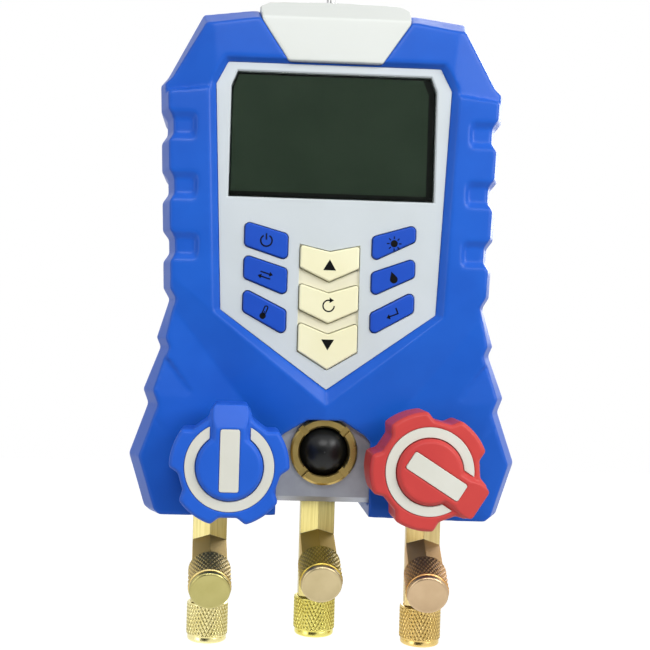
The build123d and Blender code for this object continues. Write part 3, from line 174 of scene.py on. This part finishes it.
def paint_branch_shade(material, colour, joint, ahead):
    """Painted shade, browner and duller, over the branch of a bar that leaves the joint in this direction.
    """
    tree = material.node_tree
    surface = tree.nodes["Principled BSDF"]
    place = tree.nodes["Texture Coordinate"].outputs["Object"]
    away = add(tree, "VectorMath", {0: place, 1: joint}, operation="SUBTRACT").outputs["Vector"]
    over_upper = add(tree, "VectorMath", {0: away, 1: ahead - Vector((0, 0, 1))}, operation="DOT_PRODUCT")
    over_lower = add(tree, "VectorMath", {0: away, 1: ahead + Vector((0, 0, 1))}, operation="DOT_PRODUCT")
    nearer = add(tree, "Math", {0: over_upper.outputs["Value"], 1: over_lower.outputs["Value"]},
                 operation="MINIMUM").outputs[0]
    over = add(tree, "MapRange", {"Value": nearer, "From Min": 0.0,
                                  "From Max": branch_shade_edge}).outputs["Result"]
    blend_in_shade(material, over, colour)
    rough = surface.inputs["Roughness"].links[0].from_socket
    duller = add(tree, "Math", {0: over, 1: branch_shade_dulls, 2: rough}, operation="MULTIPLY_ADD")
    tree.links.new(duller.outputs[0], surface.inputs["Roughness"])


# ------------------------------------------------------------------ plastics, rubber, ink and glass
# The grain of a moulding tool is under 0.1 mm wide in life, too fine to show. It is drawn 0.2 to 0.5 mm
# wide, where it reads as satin. Glass and the display's ink only have a slow, very shallow wave.

# thermoplastic elastomer over-mould, spark-eroded tool: saturated blue with a soft, low sheen
boot_rubber = moulded("tpe_spark_textured_blue", ("1b5fcb", "1758c2"), 0.36, (0.35, 0.02),
                      Specular_IOR_Level=0.24)
# ABS shield, fine satin tool: cool light grey that holds no sharp reflection
shield_abs = moulded("abs_satin_moulded_grey", ("cdd5d9", "c8d0d3"), 0.42, (0.25, 0.01))
# ABS cap, stoned tool: white with a faint green cast, smoother than the shield
cap_abs = moulded("abs_smooth_moulded_white", ("dadeda", "d9ddd8"), 0.36, (0.3, 0.004))
# ABS back, coarse spark texture: near black, breaks up every highlight
rear_abs = moulded("abs_spark_textured_black", ("2a2c2f", "232528"), 0.55, (0.4, 0.05))
# silicone keys, sprayed and matt: deep blue, only a soft rim of light
key_silicone = moulded("silicone_matt_sprayed_blue", ("1450c2", "114aba"), 0.42, (0.2, 0.006),
                       Specular_IOR_Level=0.3)
# silicone keys of the middle column: warm cream, matt
chevron_silicone = moulded("silicone_matt_sprayed_cream", ("f4f1cd", "efebc3"), 0.45, (0.2, 0.006))
# ABS bezel round them: the same cream, a shade greyer
bezel_abs = moulded("abs_satin_moulded_cream", ("e6e2cb", "e0dcc2"), 0.45, (0.25, 0.01))
# nylon knobs, glass filled and moulded: one satin blue and one satin red through
knob_blue = moulded("nylon_satin_moulded_blue", ("2463d6", "205ece"), 0.42, (0.25, 0.012),
                    Specular_IOR_Level=0.25)
knob_red = moulded("nylon_satin_moulded_red", ("d04844", "c84240"), 0.42, (0.25, 0.012),
                   Specular_IOR_Level=0.25)
# ABS inlays pressed into the knobs: ivory satin
inlay_abs = moulded("abs_satin_moulded_ivory", ("e0e0d6", "dadace"), 0.4, (0.25, 0.01))
# nitrile rubber seals, compression moulded: dull black
black_rubber = moulded("nitrile_moulded_black", ("1c1c1d", "171718"), 0.6, (0.3, 0.02))
# ABS sockets, polished tool: black with a clear sheen
socket_abs = moulded("abs_gloss_moulded_black", ("1d1e20", "18191b"), 0.3, (0.3, 0.008))
# silicone mat under the keys, clear stock: milky grey
mat_silicone = moulded("silicone_moulded_milky", ("b8bcbc", "aeb2b2"), 0.5, (0.3, 0.01))
# epoxy glass board under solder mask: dark green, half gloss, with a trace of the weave
solder_mask = moulded("fr4_solder_masked_green", ("14663a", "105530"), 0.35, (0.5, 0.02))
# polyester film shrunk on the cells: smooth black
cell_film = moulded("polyester_film_shrunk_black", ("26282c", "1e2024"), 0.25, (0.5, 0.004))
# screen-printed ink on the keys: flat black
key_ink = moulded("screen_printed_ink_black", ("08090b", "060708"), 0.5, (0.2, 0.004),
                  Specular_IOR_Level=0.1)
# liquid crystal glass, unlit, laminated: even grey-green, dark behind the window
crystal = moulded("lcd_glass_laminated_unlit", ("364537", "324133"), 0.35, (2.0, 0.001),
                  Specular_IOR_Level=0.1)
# near-black border round the crystal, a shade short of black, broad at the right and the bottom; its thin
# rim all round is painted shadow of the window's inner bevel
border_ink_and_shadow = moulded("ink_border_painted_shadow", ("0b0f0b", "090c09"), 0.4, (2.0, 0.001),
                     Specular_IOR_Level=0.1)
# acrylic window, moulded and polished: clear, with sharp reflections
window_acrylic = new_material("acrylic_polished_clear", Base_Color=srgb("eef2ee"), Roughness=0.03,
                              IOR=1.49, Transmission_Weight=1.0)[0]
# borosilicate sight glass, ground and thick: black dome, the painted shade of the dark well behind it,
# with a broad soft light in it
sight_glass = moulded("borosilicate_painted_well_shade", ("151717", "0f1111"), 0.34, (4.0, 0.001),
                      Specular_IOR_Level=0.3)

# ------------------------------------------------------------------ metals
# Draw lines, turning marks and blasted pits are finer than a tenth of a millimetre in life, too fine to
# show. They are drawn 0.15 to 0.7 mm wide, where they soften a reflection as the real ones do.

# the three fittings come from different bars: the left one is pale, the right one warm
shade_name = {"left": "_pale", "centre": "", "right": "_warm"}
# hexagon brass bar, drawn: yellow, with streaks 0.7 mm wide that run upward
bar_tones = {"left": ("ccc188", "b8ab70"), "centre": ("d2c684", "beb06e"), "right": ("d6c28a", "c4ac74")}
brass_bars = {port: metal("brass_drawn_bar" + shade_name[port], bar_tones[port], 0.36, (0.25, 0.01),
                          tone_size=0.7, streak=25.0)
              for port in ports}
# brass with a rolled knurl: bright crests, and painted shade in the grooves
knurl_tones = {"left": (("f2e8ac", "e6da98"), "96863e"), "centre": (("ece282", "e0d472"), "98882e"),
               "right": (("eccf88", "dcbe72"), "8c6830")}
brass_knurls = {port: knurled("brass_knurled" + shade_name[port], *knurl_tones[port], 0.24)
                for port in ports}
# the same brass on the forward caps, duller and browner: painted shade of the boot above them
shaded_knurl_tones = {"left": (("e0ca86", "d0ba74"), "8a7238"), "centre": (("dac262", "c8b052"), "867028"),
              "right": (("dcb074", "cc9c60"), "885a30")}
shaded_knurls = {port: knurled("brass_knurled_painted_shade" + shade_name[port], *shaded_knurl_tones[port], 0.42)
               for port in ports}
# brass end faces of the forward caps, turned: soft sheen, darker olive, tan and rosy than the same brass
# elsewhere, a painted reflection of the mid-tones before them
face_reflection_looks = {"left": ("_olive", ("b2aa6e", "aaa266"), 0.32),
              "centre": ("_tan", ("c0b088", "b6a67e"), 0.34),
              "right": ("_rosy", ("c2a886", "b89e7c"), 0.34)}
face_reflection_brass = {port: metal("brass_face_painted_reflection" + tint, tones, roughness, (0.4, 0.004), tone_size=8.0)
               for port, (tint, tones, roughness) in face_reflection_looks.items()}
# brass ring, bonnets and pistons, turned: golden and clean
brass_turned = metal("brass_turned", ("bca464", "b0985a"), 0.3, (0.3, 0.003))
# aluminium block, bead-blasted and clear anodised: even grey, no sharp reflection
aluminium = metal("aluminium_blasted_anodised", ("a9acb3", "a0a3ab"), 0.5, (0.15, 0.012))
# stainless wire, polished: bright, with long clear reflections
steel_wire = metal("stainless_wire_polished", ("c4c4c4", "b6b6b8"), 0.16, (0.4, 0.004))
# steel, zinc plated: light grey, slightly hazy
plated_steel = metal("steel_zinc_plated", ("b4b6ba", "a2a5aa"), 0.3, (0.3, 0.006))

finish = {
    "rubber_boot": boot_rubber, "front_cover": shield_abs, "top_cap": cap_abs, "rear_cover": rear_abs,
    "display_window": window_acrylic, "display_panel": crystal, "display_frame": cap_abs,
    "circuit_board": solder_mask, "keypad_mat": mat_silicone, "centre_key_bezel": bezel_abs,
    "battery_door": rear_abs, "batteries": cell_film, "battery_contacts": plated_steel,
    "cover_screws": plated_steel, "block_screws": plated_steel, "hook": steel_wire,
    "hook_bush": plated_steel, "probe_sockets": socket_abs, "manifold_block": aluminium,
    "sight_glass_ring": brass_turned, "sight_glass_lens": sight_glass, "sight_glass_seal": black_rubber,
    "bonnet_seals": black_rubber, "low_knob": knob_blue, "high_knob": knob_red}
finish.update({key: key_silicone for key in side_keys})
finish.update({key: chevron_silicone for key in chevron_keys})
for side in sides:
    finish[side + "_pressure_sensor"] = plated_steel
    finish[side + "_valve_bonnet"] = brass_turned
    finish[side + "_valve_stem"] = plated_steel
    finish[side + "_valve_piston"] = brass_turned
    finish[side + "_knob_inlay"] = inlay_abs
for port in ports:
    finish[port + "_port_fitting"] = brass_bars[port]
    for branch in branches:
        finish[f"{port}_{branch}_cap"] = brass_knurls[port]
        finish[f"{port}_{branch}_cap_seal"] = black_rubber
for node, material in finish.items():
    nodes[node].data.materials.clear()
    nodes[node].data.materials.append(material)

# painted shade: the forward branch of each fitting is browner and duller, standing in for the boot's shade
# over it
branch_shade_tones = {"left": "d2b468", "centre": "d0b052", "right": "cda468"}
for port in ports:
    front_turn = joints[port + "_front_cap_turn"]
    ahead = Vector(front_turn["axis"]).normalized()
    front_end = Vector(front_turn["pos_m"])
    lower_y = joints[port + "_lower_cap_turn"]["pos_m"][1]
    branch_joint = front_end - ahead * (front_end.y - lower_y) / ahead.y
    paint_branch_shade(brass_bars[port], branch_shade_tones[port], branch_joint, ahead)

# ------------------------------------------------------------------ edges of the pieces
# pieces that are round all over: millimetres of the skin's grid, and how often it is relaxed
soft_skins = {"rubber_boot": (0.6, 5), "top_cap": (0.45, 4), "low_knob": (0.33, 5), "high_knob": (0.33, 5)}
# edge radius of the others, in millimetres
edge_radius = {
    "front_cover": 0.4, "rear_cover": 0.6, "battery_door": 0.4, "centre_key_bezel": 0.2,
    "manifold_block": 0.5, "sight_glass_ring": 0.2, "display_window": 0.1, "hook_bush": 0.2}
edge_radius.update({key: 0.4 for key in side_keys + chevron_keys})
edge_radius.update({side + "_knob_inlay": 0.2 for side in sides})
edge_radius.update({side + "_valve_bonnet": 0.3 for side in sides})
edge_radius.update({port + "_port_fitting": 0.25 for port in ports})
weld_gap = 0.002 * mm            # corners nearer than this are one
flat_angle = radians(0.6)        # faces closer than this are one flat
edge_angle = radians(22)         # corners sharper than this get a radius
crease_angle = radians(30)       # corners sharper than this stay crisp on the rest
for node, obj in nodes.items():
    for polygon in obj.data.polygons:
        polygon.use_smooth = True
    weld = obj.modifiers.new("join_faces", "WELD")
    weld.merge_threshold = weld_gap
    if node in soft_skins:
        grid, rounds = soft_skins[node]
        skin = obj.modifiers.new("soft_skin", "REMESH")
        skin.mode = "VOXEL"
        skin.voxel_size = grid * mm
        skin.use_smooth_shade = True
        relax = obj.modifiers.new("round_edges", "SMOOTH")
        relax.factor = 0.5
        relax.iterations = rounds
    elif node in edge_radius:
        flats = obj.modifiers.new("merge_flats", "DECIMATE")
        flats.decimate_type = "DISSOLVE"
        flats.angle_limit = flat_angle
        soft = obj.modifiers.new("soft_edges", "BEVEL")
        soft.width = edge_radius[node] * mm
        soft.segments = 3
        soft.limit_method = "ANGLE"
        soft.angle_limit = edge_angle
        even = obj.modifiers.new("even_normals", "WEIGHTED_NORMAL")
        even.keep_sharp = True
    else:
        crisp = obj.modifiers.new("crisp_edges", "EDGE_SPLIT")
        crisp.split_angle = crease_angle


# ------------------------------------------------------------------ pieces built here
def mesh_object(name, mesh, materials, smooth):
    """A finished bmesh as an object of the scene."""
    data = bpy.data.meshes.new(name)
    bmesh.ops.recalc_face_normals(mesh, faces=mesh.faces)
    mesh.to_mesh(data)
    mesh.free()
    for material in materials:
        data.materials.append(material)
    for polygon in data.polygons:
        polygon.use_smooth = smooth
    obj = bpy.data.objects.new(name, data)
    scene.collection.objects.link(obj)
    return obj


def piece(name, mesh, body, slot, *materials, smooth=True):
    """A finished bmesh as a piece that rides on a body."""
    obj = mesh_object(name, mesh, materials, smooth)
    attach(obj, body)
    return obj


def plate(mesh, outline, front, thickness):
    """Adds a flat plate to a bmesh: outline of (x, z) points, its front at this Y."""
    loops = [[mesh.verts.new((x, front + sink, z)) for x, z in outline] for sink in (0, thickness)]
    mesh.faces.new(loops[0])
    mesh.faces.new(reversed(loops[1]))
    for a in range(len(outline)):
        b = (a + 1) % len(outline)
        mesh.faces.new((loops[0][a], loops[1][a], loops[1][b], loops[0][b]))


# ------------------------------------------------------------------ display: printed border and crystal
window_low, window_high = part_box("display_window")
corner_width, corner_drop = 2.1 * mm, 5.2 * mm       # of the window's slanted upper corners
film_thickness = 0.03 * mm
border_gap = 0.06 * mm                               # from the window's back face
crystal_step = 0.05 * mm                             # the crystal's film lies before the border's


def film(name, ink, margins, front):
    """A film in the window's outline, drawn in by these left, right, lower and upper margins."""
    left, right, low, high = [margin * mm for margin in margins]
    x0, x1 = window_low.x + left, window_high.x - right
    z0, z1 = window_low.z + low, window_high.z - high
    outline = [(x0, z0), (x0, z1 - corner_drop), (x0 + corner_width, z1), (x1 - corner_width, z1),
               (x1, z1 - corner_drop), (x1, z0)]
    mesh = bmesh.new()
    plate(mesh, outline, front, film_thickness)
    piece(name, mesh, "housing", "liquid_crystal", ink, smooth=False)


border_front = window_high.y - border_gap
film("display_border", border_ink_and_shadow, (0.35, 0.35, 0.35, 0.35), border_front)
film("display_crystal", crystal, (0.6, 2.7, 2.1, 0.9), border_front - crystal_step)


# ------------------------------------------------------------------ symbols printed on the keys
def ring_part(inner, outer, start, end, steps=28, lift=0.0):
    """Outline of a ring's part between two angles in degrees."""
    angles = [radians(start + (end - start) * k / steps) for k in range(steps + 1)]
    return ([(outer * cos(a), outer * sin(a) + lift) for a in angles]
            + [(inner * cos(a), inner * sin(a) + lift) for a in reversed(angles)])


def disc(radius, lift=0.0):
    """Outline of a disc."""
    angles = [radians(15 * k) for k in range(24)]
    return [(radius * cos(a), radius * sin(a) + lift) for a in angles]


def bar(x, z, width, height, turn=0.0):
    """Outline of a bar round its middle."""
    c, s = cos(radians(turn)), sin(radians(turn))
    return [(x + c * u * width / 2 - s * v * height / 2, z + s * u * width / 2 + c * v * height / 2)
            for u, v in ((-1, -1), (1, -1), (1, 1), (-1, 1))]


def ray(radius, turn, length, width):
    """A bar that points outward at this angle."""
    return bar(radius * cos(radians(turn)), radius * sin(radians(turn)), length, width, turn)


# outlines in millimetres from the middle of a key
stroke = 0.5                     # width of an arrow's shaft
drop_round = [(1.4 * cos(radians(a)), 1.4 * sin(radians(a)) - 0.7) for a in range(-205, 30, 12)]
symbols = {
    # on and off: broken ring and bar
    "power_key": [ring_part(1.75, 2.3, 120, 420), bar(0, 1.45, 0.55, 2.3)],
    # backlight: sun
    "light_key": [disc(1.3)] + [ray(2.15, 45 * k, 0.95, 0.42) for k in range(8)],
    # change of unit: two arrows
    "unit_key": [bar(-0.3, 0.75, 3.6, stroke), [(1.3, 1.65), (2.6, 0.75), (1.3, -0.15)],
                 bar(0.3, -0.85, 3.6, stroke), [(-1.3, 0.05), (-2.6, -0.85), (-1.3, -1.75)]],
    # temperature: bulb, glass with its round end, and thread
    "temperature_key": [disc(1.15, lift=-1.5), ring_part(0.35, 0.8, 0, 180, steps=12, lift=1.7),
                        bar(-0.575, 0.5, 0.45, 2.4), bar(0.575, 0.5, 0.45, 2.4), bar(0, -0.4, 0.35, 1.6)],
    # leak test: drop
    "leak_key": [drop_round + [(0.0, 2.3)]],
    # enter: bent arrow
    "enter_key": [bar(0.4, -0.7, 3.6, stroke), bar(1.95, 0.25, stroke, 2.4),
                  [(-1.2, 0.3), (-2.5, -0.7), (-1.2, -1.7)]],
    "up_key": [[(-2.3, -1.9), (2.3, -1.9), (0.0, 2.0)]],
    # reset: circling arrow
    "reset_key": [ring_part(1.75, 2.25, 70, 360, steps=36), [(0.3, 3.0), (0.3, 1.0), (1.9, 2.0)]],
    "down_key": [[(-2.3, 1.9), (0.0, -2.0), (2.3, 1.9)]]}
symbol_turn = {"unit_key": -17, "temperature_key": -22, "leak_key": 19, "enter_key": 23}     # degrees
symbol_lift = {"up_key": -0.6, "reset_key": -0.9, "down_key": 0.4}                           # millimetres
ink_height = 0.04 * mm
for key, outlines in symbols.items():
    low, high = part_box(key)
    middle = (low + high) / 2
    turn = radians(symbol_turn.get(key, 0))
    lift = symbol_lift.get(key, 0)
    ink = bmesh.new()
    for outline in outlines:
        plate(ink, [(middle.x + (cos(turn) * x - sin(turn) * z) * mm,
                     middle.z + (sin(turn) * x + cos(turn) * z + lift) * mm) for x, z in outline],
              low.y - ink_height, 2 * ink_height)
    piece(key.replace("_key", "_symbol"), ink, key + "_body", "black_plastic", key_ink, smooth=False)

# ------------------------------------------------------------------ caps of the ports, turned and knurled
cap_length = 14.5 * mm
cap_radius = 7.8 * mm
cap_wall = 1.9 * mm          # behind the face
bore_radius = 5.61 * mm
mouth_bevel = 0.4 * mm       # of the bore
rim_width = 0.25 * mm        # chamfer round the open end
rim_rise = 0.1 * mm          # height of that chamfer, and of the slope into the lip's groove
end_bevel = 0.45 * mm        # at both ends of the knurl, and the step down to the lip
lip_length = 2.2 * mm        # smooth lip round the face
lip_groove = 0.15 * mm       # depth of the groove between the knurl and the lip
lip_round = 0.9 * mm
lip_steps = 6
face_edge = 0.2 * mm         # from the lip's round to the dished face
face_dish = 0.05 * mm
face_middle = 2.0 * mm
knurl_count = 34             # crests round the cap
knurl_depth = 0.4 * mm
knurl_lean = 1.9             # a diamond's height over its width
knurl_steps = 6              # mesh steps from crest to crest
groove_share = 0.8           # share of a half pitch that a groove takes
end_depth = 0.3              # share of its depth that a groove has at the knurl's ends


def cap_profile(step):
    """Rows of a cap from bore to face: radius, place along the axis, share of the knurl's depth."""
    body_end = cap_length - lip_length
    knurl_length = body_end - 2 * end_bevel
    knurl_r = cap_radius - end_bevel
    rows = [(bore_radius, cap_length - cap_wall, 0), (bore_radius, mouth_bevel, 0),
            (bore_radius + mouth_bevel, 0, 0), (knurl_r - rim_width, 0, 0), (knurl_r, rim_rise, 0)]
    count = int(knurl_length / step)
    for k in range(count + 1):
        rows.append((cap_radius, end_bevel + knurl_length * k / count, 1 if 0 < k < count else end_depth))
    rows += [(knurl_r, body_end - rim_rise, 0), (knurl_r - lip_groove, body_end, 0),
             (knurl_r - lip_groove / 3, body_end + lip_groove, 0)]
    for k in range(lip_steps + 1):
        a = radians(90 * k / lip_steps)
        rows.append((knurl_r - lip_round * (1 - cos(a)), cap_length - lip_round * (1 - sin(a)), 0))
    face_floor = cap_length - face_dish
    rows += [(knurl_r - lip_round - face_edge, face_floor, 0), (face_middle, face_floor, 0)]
    return rows


def knurled_cap(base, axis):
    """A cap whose open end is at base and whose face is towards axis."""
    around = knurl_count * knurl_steps
    pitch = 2 * pi * cap_radius / knurl_count
    turn = axis.to_track_quat("Z", "Y").to_matrix()
    rows = cap_profile(pitch / knurl_steps)
    mesh = bmesh.new()
    groove = mesh.verts.layers.float.new("groove")
    loops = []
    for radius, along, share in rows:
        loop = []
        for k in range(around):
            angle = 2 * pi * k / around
            right_hand = abs((angle * cap_radius / pitch + along / pitch / knurl_lean) % 1 - 0.5) * 2
            left_hand = abs((angle * cap_radius / pitch - along / pitch / knurl_lean) % 1 - 0.5) * 2
            sunk = share * max(0, 1 - min(right_hand, left_hand) / groove_share)
            r = radius - sunk * knurl_depth
            vert = mesh.verts.new(base + turn @ Vector((r * cos(angle), r * sin(angle), along)))
            # how deep the groove is here, which sets the painted shade in the knurl's grooves
            vert[groove] = sunk ** 2
            loop.append(vert)
        loops.append(loop)
    lip_start = len(rows) - lip_steps - 4
    for n, (a, b) in enumerate(zip(loops, loops[1:])):
        for k in range(around):
            quad = mesh.faces.new((a[k], a[(k + 1) % around], b[(k + 1) % around], b[k]))
            quad.material_index = 1 if n >= lip_start else 0
    mesh.faces.new(loops[0])
    end = mesh.faces.new(loops[-1])
    end.material_index = 1
    return mesh


cap_metals = {"front": (shaded_knurls, face_reflection_brass), "lower": (brass_knurls, brass_knurls)}
for port in ports:
    for branch in branches:
        name = f"{port}_{branch}"
        turn_joint = joints[name + "_cap_turn"]
        axis = Vector(turn_joint["axis"]).normalized()
        origin = Vector(turn_joint["pos_m"])
        reach = max((vert.co - origin).dot(axis) for vert in nodes[name + "_cap"].data.vertices)
        mesh = knurled_cap(origin + axis * (reach - cap_length), axis)
        knurl_metal, face_metal = [metals[port] for metals in cap_metals[branch]]
        cap = piece(name + "_knurled_cap", mesh, name + "_cap_body", "brass", knurl_metal, face_metal)
        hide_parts(name + "_cap")

# ------------------------------------------------------------------ camera, level with the keys
camera_place = Vector((-34.5, -426.0, -160.865)) * mm
yaw, pitch, roll = radians(2.13), radians(-0.15), radians(1.67)
forward = Vector((sin(yaw) * cos(pitch), cos(yaw) * cos(pitch), -sin(pitch)))
level = Vector((cos(yaw), -sin(yaw), 0))
upward = level.cross(forward)
across = level * cos(roll) + upward * sin(roll)
tall = upward * cos(roll) - level * sin(roll)
view = bpy.data.cameras.new("view")
view.sensor_width = 36
view.lens = 62.03
view.shift_x = 0.08
view.clip_start = 0.01
camera = bpy.data.objects.new("view", view)
scene.collection.objects.link(camera)
facing = Matrix((across, tall, -forward)).transposed().to_4x4()
camera.matrix_world = Matrix.Translation(camera_place) @ facing
scene.camera = camera


# ------------------------------------------------------------------ studio
def seen_white(tree):
    """1 for camera, mirror and see-through rays, 0 for soft light."""
    path = add(tree, "LightPath")
    seen = add(tree, "Math", {0: path.outputs["Is Camera Ray"], 1: path.outputs["Is Glossy Ray"]},
               operation="MAXIMUM").outputs[0]
    return add(tree, "Math", {0: seen, 1: path.outputs["Is Transmission Ray"]},
               operation="MAXIMUM").outputs[0]


ambient = 0.28                   # strength of the soft light from all round
world = bpy.data.worlds.new("studio")
scene.world = world
world.use_nodes = True
sky = world.node_tree
sky.nodes.clear()
strength = add(sky, "MapRange", {"Value": seen_white(sky), "To Min": ambient, "To Max": 1.0})
background = add(sky, "Background", {"Color": (1, 1, 1, 1), "Strength": strength.outputs["Result"]})
add(sky, "OutputWorld", {"Surface": background.outputs["Background"]})

# softboxes: place, width and height in metres, power in watts
aim = Vector((0, 0, -0.16))
softboxes = {
    "key_light": ((0.52, -0.45, 0.14), (0.3, 0.4), 3.2),
    "top_light": ((-0.02, -0.78, 0.38), (0.5, 0.25), 3.4),
    "fill_light": ((-0.8, -0.6, -0.1), (0.4, 0.8), 2.0),
    "back_light": ((0.35, 0.95, 0.25), (0.7, 0.7), 7.0)}
for name, (place, size, power) in softboxes.items():
    lamp = bpy.data.lights.new(name, "AREA")
    lamp.shape = "RECTANGLE"
    lamp.size, lamp.size_y = size
    lamp.energy = power
    obj = bpy.data.objects.new(name, lamp)
    scene.collection.objects.link(obj)
    obj.location = place
    obj.rotation_euler = (aim - Vector(place)).to_track_quat("-Z", "Y").to_euler()

# wool felt on the cards, pressed: black, takes the white room out of what faces them
card_felt = moulded("felt_pressed_black", ("101010", "0c0c0c"), 0.9, (1.0, 0.1))
# cards that only darken what the window and the boot's left mirror: place, width and height in metres
cards = {"window_card": ((-0.33, -1.6, 0.15), (1.6, 0.8)), "front_card": ((-0.53, -1.6, -0.3), (1.3, 0.7))}
for name, (place, (width, height)) in cards.items():
    turn = (aim - Vector(place)).to_track_quat("-Z", "Y").to_matrix()
    mesh = bmesh.new()
    corners = [Vector(place) + turn @ Vector((u * width / 2, v * height / 2, 0))
               for u, v in ((-1, -1), (1, -1), (1, 1), (-1, 1))]
    mesh.faces.new([mesh.verts.new(corner) for corner in corners])
    card = mesh_object(name, mesh, [card_felt], smooth=False)
    card.visible_camera = False
    card.visible_diffuse = False
    card.visible_shadow = False

# pale floor, far below the hanging gauge
floor_half = 6.0
floor_height = -0.95
floor_glow = 0.78
mesh = bmesh.new()
bmesh.ops.create_grid(mesh, x_segments=2, y_segments=2, size=floor_half)
# floor paint, rolled: matt white, bright where it is seen, without throwing light on the gauge
floor_paint, tree, surface = new_material("paint_rolled_white", Base_Color=(0.8, 0.8, 0.8, 1),
                                          Roughness=0.7, Emission_Color=(1, 1, 1, 1))[:3]
glow = add(tree, "Math", {0: seen_white(tree), 1: floor_glow}, operation="MULTIPLY")
tree.links.new(glow.outputs[0], surface.inputs["Emission Strength"])
floor = mesh_object("floor", mesh, [floor_paint], smooth=False)
floor.location.z = floor_height
